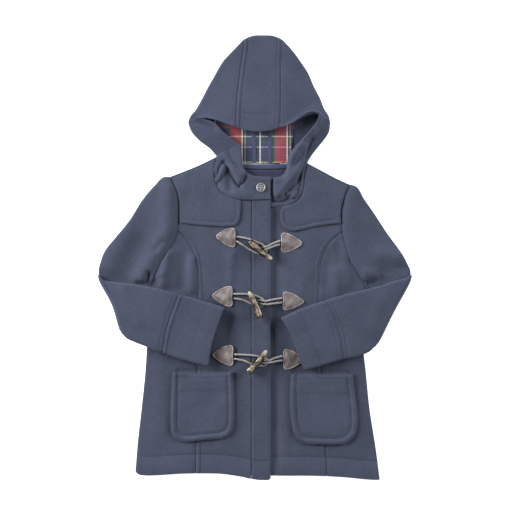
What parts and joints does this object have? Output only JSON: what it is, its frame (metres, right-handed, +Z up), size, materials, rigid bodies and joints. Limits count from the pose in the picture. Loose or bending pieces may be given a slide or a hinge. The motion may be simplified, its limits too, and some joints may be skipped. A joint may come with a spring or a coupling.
{
  "type": "duffle coat",
  "caption": "Child's navy wool duffle coat laid flat with its sleeves folded in, with a plaid-lined hood and toggle fastenings.",
  "frame": {"origin": "middle of the laid coat's bounding box, on the surface that it lies on", "axes": "+X towards the wearer's left sleeve, +Y from hem to hood, +Z up, away from the surface"},
  "size_m": [0.5488, 0.7807, 0.0265],
  "materials": {
    "wool": "matte brushed melton",
    "facing": "matte twill",
    "plaid": "matte woven check in red, navy and white",
    "leather": "smooth, satin",
    "cord": "braided",
    "horn": "polished imitation horn",
    "metal": "polished"
  },
  "bodies": {
    "root": {"back": "wool", "front_right": "wool", "front_left": "wool", "side_front_right": "wool", "side_front_left": "wool", "yoke_right": "wool", "yoke_left": "wool", "placket": "wool", "pocket_right": "wool", "pocket_left": "wool", "sleeve_right": "wool", "sleeve_left": "wool", "cuff_right": "wool", "cuff_left": "wool", "hood_center": "wool", "hood_side_right": "wool", "hood_side_left": "wool", "neck_strip": "wool", "back_neck_facing": "facing", "hood_lining": "plaid", "patch_right_1": "leather", "patch_left_1": "leather", "loop_1": "cord", "hold_1": "cord", "toggle_1": "horn", "patch_right_2": "leather", "patch_left_2": "leather", "loop_2": "cord", "hold_2": "cord", "toggle_2": "horn", "patch_right_3": "leather", "patch_left_3": "leather", "loop_3": "cord", "hold_3": "cord", "toggle_3": "horn", "snap": "metal"}
  },
  "joints": []
}
